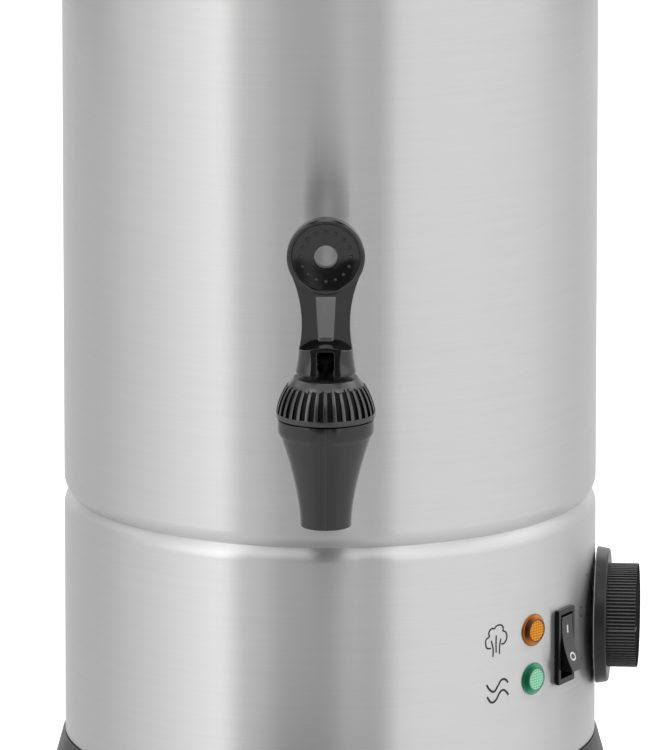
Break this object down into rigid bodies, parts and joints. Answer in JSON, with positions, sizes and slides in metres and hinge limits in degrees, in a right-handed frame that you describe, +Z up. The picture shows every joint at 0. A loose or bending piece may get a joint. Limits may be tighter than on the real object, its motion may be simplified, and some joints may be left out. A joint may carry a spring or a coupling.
{
  "type": "mulled wine urn",
  "caption": "Free-standing steel urn with lever tap, thermostat knob, rocker switch, lamps, side handles and lift-off lid, for heating and serving mulled wine.",
  "frame": {"origin": "on the table under the urn's axis", "axes": "+Z up along the urn's axis, -Y to the front where the tap is, +X to the right as the tap is faced"},
  "size_m": [0.333, 0.3188, 0.4908],
  "materials": {
    "body_steel": "horizontally brushed",
    "vessel_steel": "satin",
    "tap_black": "glossy",
    "moulded_black": "satin",
    "switch_black": "semi-gloss",
    "lens_amber": "translucent gloss",
    "lens_green": "translucent gloss",
    "foot_rubber": "matte",
    "silicone": "matte",
    "valve_plastic": "satin",
    "fastener_steel": "zinc plated",
    "heater_metal": "cast",
    "element_metal": "oxidised",
    "ceramic_white": "matte",
    "sensor_brass": "plain"
  },
  "bodies": {
    "urn": {"casing": "body_steel", "tank": "vessel_steel", "tap_body": "tap_black", "bonnet": "tap_black", "base_ring": "moulded_black", "handle_right": "moulded_black", "handle_left": "moulded_black", "cable_gland": "moulded_black", "gland_nut": "moulded_black", "amber_lamp": "moulded_black", "green_lamp": "moulded_black", "switch_housing": "switch_black", "amber_lens": "lens_amber", "green_lens": "lens_green", "feet": "foot_rubber", "tap_washer_outer": "silicone", "wall_spacer": "silicone", "tap_washer_inner": "silicone", "stem_seal": "silicone", "tap_nut": "valve_plastic", "foot_screws": "fastener_steel", "tie_rod": "fastener_steel", "tie_nut": "fastener_steel", "thermostat_screws": "fastener_steel", "lamp_nuts": "fastener_steel", "handle_screws": "fastener_steel", "tap_spring": "fastener_steel", "base_plate": "fastener_steel", "heater_plate": "heater_metal", "heating_element": "element_metal", "boil_dry_cutout": "ceramic_white", "thermostat_body": "ceramic_white", "terminal_block": "ceramic_white", "sensor_bulb": "sensor_brass", "capillary_tube": "sensor_brass", "switch_terminals": "sensor_brass"},
    "stem": {"stem": "tap_black", "seat_cup": "silicone"},
    "lever": {"lever": "tap_black", "lever_pin": "fastener_steel"},
    "knob": {"thermostat_knob": "moulded_black", "thermostat_shaft": "fastener_steel"},
    "rocker": {"rocker": "switch_black"},
    "lid": {"lid": "vessel_steel", "lid_knob": "moulded_black", "lid_knob_screw": "fastener_steel"}
  },
  "joints": [
    {"name": "stem_lift", "type": "slide", "parent": "urn", "child": "stem", "axis": [0, 0, 1], "range_m": [0, 0.0053], "deforming": ["tap_spring"]},
    {"name": "lever_tilt", "type": "hinge", "parent": "stem", "child": "lever", "pos_m": [0, -0.162, 0.2395], "axis": [1, 0, 0], "range_deg": [0, 40], "stiffness_Nm_per_rad": 0.15, "springref_deg": -20.05},
    {"name": "knob_turn", "type": "hinge", "parent": "urn", "child": "knob", "pos_m": [0.11976, -0.00754, 0.086], "axis": [-0.998, 0.0628, 0], "range_deg": [0, 270]},
    {"name": "rocker_tilt", "type": "hinge", "parent": "urn", "child": "rocker", "pos_m": [0.10328, -0.05749, 0.0848], "axis": [0.4863, 0.8738, 0], "range_deg": [0, 26]},
    {"name": "lid_lift", "type": "slide", "parent": "urn", "child": "lid", "axis": [0, 0, 1], "range_m": [0, 0.06]}
  ],
  "couplings": [
    {"joint": "stem_lift", "follows": "lever_tilt", "m_per_rad": 0.00745}
  ]
}
